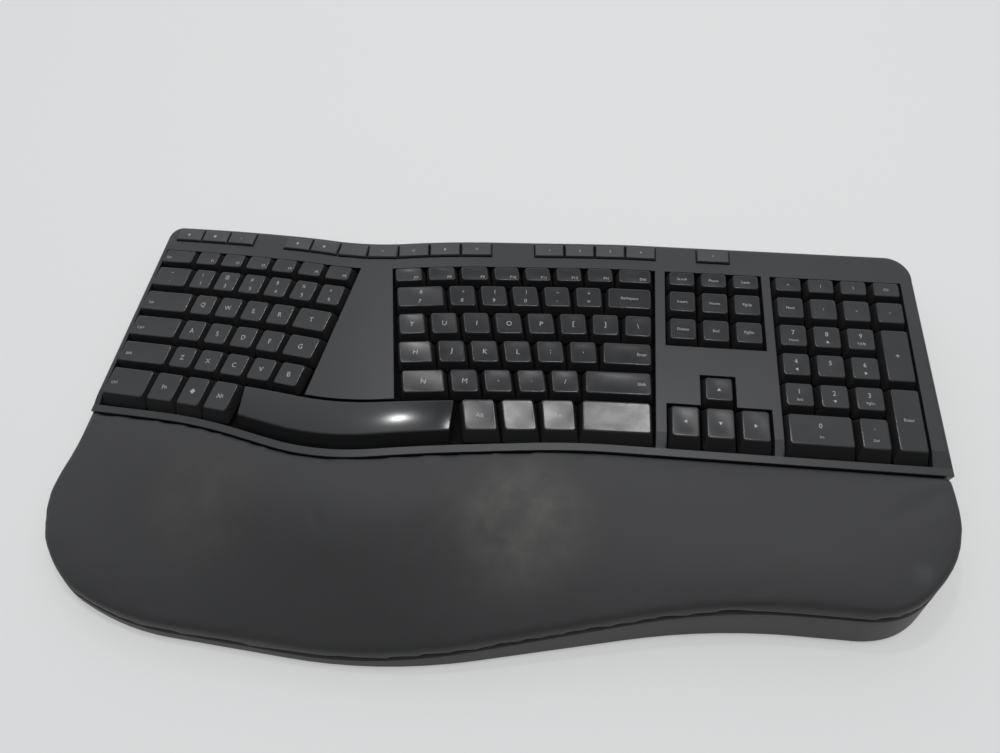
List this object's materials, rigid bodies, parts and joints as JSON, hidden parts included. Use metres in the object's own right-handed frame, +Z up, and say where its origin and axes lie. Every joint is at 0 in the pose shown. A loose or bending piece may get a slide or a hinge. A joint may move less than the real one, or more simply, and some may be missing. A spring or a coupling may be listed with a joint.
{
  "type": "ergonomic split keyboard",
  "caption": "Free-standing split keyboard with an arched key deck, bent key rows, a number pad, low media keys along the back and one wide padded palm rest.",
  "frame": {"origin": "on the desk plane under the middle of the body's bounding box", "axes": "+X towards the number pad, +Y towards the back edge, +Z up"},
  "size_m": [0.5, 0.2678, 0.0428],
  "materials": {
    "case_plastic": "fine spark-eroded charcoal plastic, slightly polished where it is touched",
    "key_plastic": "smooth charcoal caps, satin from wear, with pale printed legends",
    "hot_key_plastic": "smooth charcoal buttons with pale printed symbols",
    "soft_cover": "soft grained dark grey cover over foam, faint wear patches",
    "frame_plastic": "plain black moulded plastic",
    "rubber": "dull black rubber",
    "circuit_film": "milky polyester film",
    "circuit_board": "green lacquered board",
    "steel_sheet": "plain zinc-plated sheet",
    "screw_steel": "dark plated steel"
  },
  "bodies": {
    "case": {"bottom_cover": "case_plastic", "top_cover": "case_plastic", "palm_rest_carrier": "case_plastic", "palm_rest_pad": "soft_cover", "key_frame_left": "frame_plastic", "key_frame_right": "frame_plastic", "key_frame_pads": "frame_plastic", "rubber_domes": "rubber", "membrane_sheet": "circuit_film", "backing_plate": "steel_sheet", "hot_key_strip": "circuit_film", "controller_board": "circuit_board", "cable_bush": "rubber", "case_screws": "screw_steel", "rubber_feet": "rubber"},
    "function_keys_left": {"function_keys_left": "key_plastic"},
    "number_keys_left": {"number_keys_left": "key_plastic"},
    "tab_key": {"tab_key": "key_plastic"},
    "top_letter_keys_left": {"top_letter_keys_left": "key_plastic"},
    "caps_lock_key": {"caps_lock_key": "key_plastic"},
    "home_keys_left": {"home_keys_left": "key_plastic"},
    "left_shift_key": {"left_shift_key": "key_plastic"},
    "low_letter_keys_left": {"low_letter_keys_left": "key_plastic"},
    "left_control_key": {"left_control_key": "key_plastic"},
    "bottom_keys_left": {"bottom_keys_left": "key_plastic"},
    "function_keys_right": {"function_keys_right": "key_plastic"},
    "backspace_key": {"backspace_key": "key_plastic"},
    "number_keys_right": {"number_keys_right": "key_plastic"},
    "top_letter_keys_right": {"top_letter_keys_right": "key_plastic"},
    "enter_key": {"enter_key": "key_plastic"},
    "home_keys_right": {"home_keys_right": "key_plastic"},
    "right_shift_key": {"right_shift_key": "key_plastic"},
    "low_letter_keys_right": {"low_letter_keys_right": "key_plastic"},
    "right_control_key": {"right_control_key": "key_plastic"},
    "bottom_keys_right": {"bottom_keys_right": "key_plastic"},
    "navigation_keys_top": {"navigation_keys_top": "key_plastic"},
    "navigation_keys_middle": {"navigation_keys_middle": "key_plastic"},
    "navigation_keys_low": {"navigation_keys_low": "key_plastic"},
    "arrow_up_key": {"arrow_up_key": "key_plastic"},
    "arrow_left_key": {"arrow_left_key": "key_plastic"},
    "arrow_down_key": {"arrow_down_key": "key_plastic"},
    "arrow_right_key": {"arrow_right_key": "key_plastic"},
    "pad_keys_top": {"pad_keys_top": "key_plastic"},
    "pad_keys_upper": {"pad_keys_upper": "key_plastic"},
    "pad_keys_seven_to_nine": {"pad_keys_seven_to_nine": "key_plastic"},
    "pad_keys_four_to_six": {"pad_keys_four_to_six": "key_plastic"},
    "pad_keys_low": {"pad_keys_low": "key_plastic"},
    "pad_plus_key": {"pad_plus_key": "key_plastic"},
    "pad_enter_key": {"pad_enter_key": "key_plastic"},
    "pad_zero_key": {"pad_zero_key": "key_plastic"},
    "space_bar": {"space_bar": "key_plastic"},
    "hot_keys_left": {"hot_keys_left": "hot_key_plastic"},
    "hot_keys_middle": {"hot_keys_middle": "hot_key_plastic"},
    "hot_keys_right": {"hot_keys_right": "hot_key_plastic"},
    "tilt_leg_left": {"tilt_leg_left": "case_plastic", "leg_tip_left": "rubber"},
    "tilt_leg_right": {"tilt_leg_right": "case_plastic", "leg_tip_right": "rubber"}
  },
  "joints": [
    {"name": "function_keys_left_press", "type": "slide", "parent": "case", "child": "function_keys_left", "axis": [0.1661, 0, -0.9861], "range_m": [0, 0.0022], "stiffness_N_per_m": 1890, "springref_m": -0.0008},
    {"name": "number_keys_left_press", "type": "slide", "parent": "case", "child": "number_keys_left", "axis": [0.1672, 0, -0.9859], "range_m": [0, 0.0022], "stiffness_N_per_m": 1890, "springref_m": -0.0008},
    {"name": "tab_key_press", "type": "slide", "parent": "case", "child": "tab_key", "axis": [0.1788, 0, -0.9839], "range_m": [0, 0.0022], "stiffness_N_per_m": 270, "springref_m": -0.0008},
    {"name": "top_letter_keys_left_press", "type": "slide", "parent": "case", "child": "top_letter_keys_left", "axis": [0.1702, 0, -0.9854], "range_m": [0, 0.0022], "stiffness_N_per_m": 1350, "springref_m": -0.0008},
    {"name": "caps_lock_key_press", "type": "slide", "parent": "case", "child": "caps_lock_key", "axis": [0.1788, 0, -0.9839], "range_m": [0, 0.0022], "stiffness_N_per_m": 270, "springref_m": -0.0008},
    {"name": "home_keys_left_press", "type": "slide", "parent": "case", "child": "home_keys_left", "axis": [0.1715, 0, -0.9852], "range_m": [0, 0.0022], "stiffness_N_per_m": 1350, "springref_m": -0.0008},
    {"name": "left_shift_key_press", "type": "slide", "parent": "case", "child": "left_shift_key", "axis": [0.1788, 0, -0.9839], "range_m": [0, 0.0022], "stiffness_N_per_m": 270, "springref_m": -0.0008},
    {"name": "low_letter_keys_left_press", "type": "slide", "parent": "case", "child": "low_letter_keys_left", "axis": [0.1728, 0, -0.985], "range_m": [0, 0.0022], "stiffness_N_per_m": 1350, "springref_m": -0.0008},
    {"name": "left_control_key_press", "type": "slide", "parent": "case", "child": "left_control_key", "axis": [0.1788, 0, -0.9839], "range_m": [0, 0.0022], "stiffness_N_per_m": 270, "springref_m": -0.0008},
    {"name": "bottom_keys_left_press", "type": "slide", "parent": "case", "child": "bottom_keys_left", "axis": [0.1788, 0, -0.9839], "range_m": [0, 0.0022], "stiffness_N_per_m": 810, "springref_m": -0.0008},
    {"name": "function_keys_right_press", "type": "slide", "parent": "case", "child": "function_keys_right", "axis": [-0.0412, 0, -0.9991], "range_m": [0, 0.0022], "stiffness_N_per_m": 2160, "springref_m": -0.0008},
    {"name": "backspace_key_press", "type": "slide", "parent": "case", "child": "backspace_key", "axis": [0, 0, -1], "range_m": [0, 0.0022], "stiffness_N_per_m": 270, "springref_m": -0.0008},
    {"name": "number_keys_right_press", "type": "slide", "parent": "case", "child": "number_keys_right", "axis": [-0.0567, 0, -0.9984], "range_m": [0, 0.0022], "stiffness_N_per_m": 1620, "springref_m": -0.0008},
    {"name": "top_letter_keys_right_press", "type": "slide", "parent": "case", "child": "top_letter_keys_right", "axis": [-0.0432, 0, -0.9991], "range_m": [0, 0.0022], "stiffness_N_per_m": 2160, "springref_m": -0.0008},
    {"name": "enter_key_press", "type": "slide", "parent": "case", "child": "enter_key", "axis": [0, 0, -1], "range_m": [0, 0.0022], "stiffness_N_per_m": 270, "springref_m": -0.0008},
    {"name": "home_keys_right_press", "type": "slide", "parent": "case", "child": "home_keys_right", "axis": [-0.0583, 0, -0.9983], "range_m": [0, 0.0022], "stiffness_N_per_m": 1620, "springref_m": -0.0008},
    {"name": "right_shift_key_press", "type": "slide", "parent": "case", "child": "right_shift_key", "axis": [0, 0, -1], "range_m": [0, 0.0022], "stiffness_N_per_m": 270, "springref_m": -0.0008},
    {"name": "low_letter_keys_right_press", "type": "slide", "parent": "case", "child": "low_letter_keys_right", "axis": [-0.0658, 0, -0.9978], "range_m": [0, 0.0022], "stiffness_N_per_m": 1350, "springref_m": -0.0008},
    {"name": "right_control_key_press", "type": "slide", "parent": "case", "child": "right_control_key", "axis": [0, 0, -1], "range_m": [0, 0.0022], "stiffness_N_per_m": 270, "springref_m": -0.0008},
    {"name": "bottom_keys_right_press", "type": "slide", "parent": "case", "child": "bottom_keys_right", "axis": [-0.0767, 0, -0.9971], "range_m": [0, 0.0022], "stiffness_N_per_m": 810, "springref_m": -0.0008},
    {"name": "navigation_keys_top_press", "type": "slide", "parent": "case", "child": "navigation_keys_top", "axis": [0, 0, -1], "range_m": [0, 0.0022], "stiffness_N_per_m": 810, "springref_m": -0.0008},
    {"name": "navigation_keys_middle_press", "type": "slide", "parent": "case", "child": "navigation_keys_middle", "axis": [0, 0, -1], "range_m": [0, 0.0022], "stiffness_N_per_m": 810, "springref_m": -0.0008},
    {"name": "navigation_keys_low_press", "type": "slide", "parent": "case", "child": "navigation_keys_low", "axis": [0, 0, -1], "range_m": [0, 0.0022], "stiffness_N_per_m": 810, "springref_m": -0.0008},
    {"name": "arrow_up_key_press", "type": "slide", "parent": "case", "child": "arrow_up_key", "axis": [0, 0, -1], "range_m": [0, 0.0022], "stiffness_N_per_m": 270, "springref_m": -0.0008},
    {"name": "arrow_left_key_press", "type": "slide", "parent": "case", "child": "arrow_left_key", "axis": [0, 0, -1], "range_m": [0, 0.0022], "stiffness_N_per_m": 270, "springref_m": -0.0008},
    {"name": "arrow_down_key_press", "type": "slide", "parent": "case", "child": "arrow_down_key", "axis": [0, 0, -1], "range_m": [0, 0.0022], "stiffness_N_per_m": 270, "springref_m": -0.0008},
    {"name": "arrow_right_key_press", "type": "slide", "parent": "case", "child": "arrow_right_key", "axis": [0, 0, -1], "range_m": [0, 0.0022], "stiffness_N_per_m": 270, "springref_m": -0.0008},
    {"name": "pad_keys_top_press", "type": "slide", "parent": "case", "child": "pad_keys_top", "axis": [0, 0, -1], "range_m": [0, 0.0022], "stiffness_N_per_m": 1080, "springref_m": -0.0008},
    {"name": "pad_keys_upper_press", "type": "slide", "parent": "case", "child": "pad_keys_upper", "axis": [0, 0, -1], "range_m": [0, 0.0022], "stiffness_N_per_m": 1080, "springref_m": -0.0008},
    {"name": "pad_keys_seven_to_nine_press", "type": "slide", "parent": "case", "child": "pad_keys_seven_to_nine", "axis": [0, 0, -1], "range_m": [0, 0.0022], "stiffness_N_per_m": 810, "springref_m": -0.0008},
    {"name": "pad_keys_four_to_six_press", "type": "slide", "parent": "case", "child": "pad_keys_four_to_six", "axis": [0, 0, -1], "range_m": [0, 0.0022], "stiffness_N_per_m": 810, "springref_m": -0.0008},
    {"name": "pad_keys_low_press", "type": "slide", "parent": "case", "child": "pad_keys_low", "axis": [0, 0, -1], "range_m": [0, 0.0022], "stiffness_N_per_m": 1080, "springref_m": -0.0008},
    {"name": "pad_plus_key_press", "type": "slide", "parent": "case", "child": "pad_plus_key", "axis": [0, 0, -1], "range_m": [0, 0.0022], "stiffness_N_per_m": 270, "springref_m": -0.0008},
    {"name": "pad_enter_key_press", "type": "slide", "parent": "case", "child": "pad_enter_key", "axis": [0, 0, -1], "range_m": [0, 0.0022], "stiffness_N_per_m": 270, "springref_m": -0.0008},
    {"name": "pad_zero_key_press", "type": "slide", "parent": "case", "child": "pad_zero_key", "axis": [0, 0, -1], "range_m": [0, 0.0022], "stiffness_N_per_m": 270, "springref_m": -0.0008},
    {"name": "space_bar_press", "type": "slide", "parent": "case", "child": "space_bar", "axis": [0.0685, 0, -0.9977], "range_m": [0, 0.0022], "stiffness_N_per_m": 810, "springref_m": -0.0008},
    {"name": "hot_keys_left_press", "type": "slide", "parent": "case", "child": "hot_keys_left", "axis": [0.1788, 0, -0.9839], "range_m": [0, 0.0006], "stiffness_N_per_m": 3600, "springref_m": -0.0005},
    {"name": "hot_keys_middle_press", "type": "slide", "parent": "case", "child": "hot_keys_middle", "axis": [0.0546, 0, -0.9985], "range_m": [0, 0.0006], "stiffness_N_per_m": 8400, "springref_m": -0.0005},
    {"name": "hot_keys_right_press", "type": "slide", "parent": "case", "child": "hot_keys_right", "axis": [-0.0209, 0, -0.9998], "range_m": [0, 0.0006], "stiffness_N_per_m": 6000, "springref_m": -0.0005},
    {"name": "tilt_leg_left_fold", "type": "hinge", "parent": "case", "child": "tilt_leg_left", "pos_m": [-0.15, -0.09, 0.0044], "axis": [-1, 0, 0], "range_deg": [0, 90]},
    {"name": "tilt_leg_right_fold", "type": "hinge", "parent": "case", "child": "tilt_leg_right", "pos_m": [0.15, -0.064, 0.0044], "axis": [-1, 0, 0], "range_deg": [0, 90]}
  ]
}
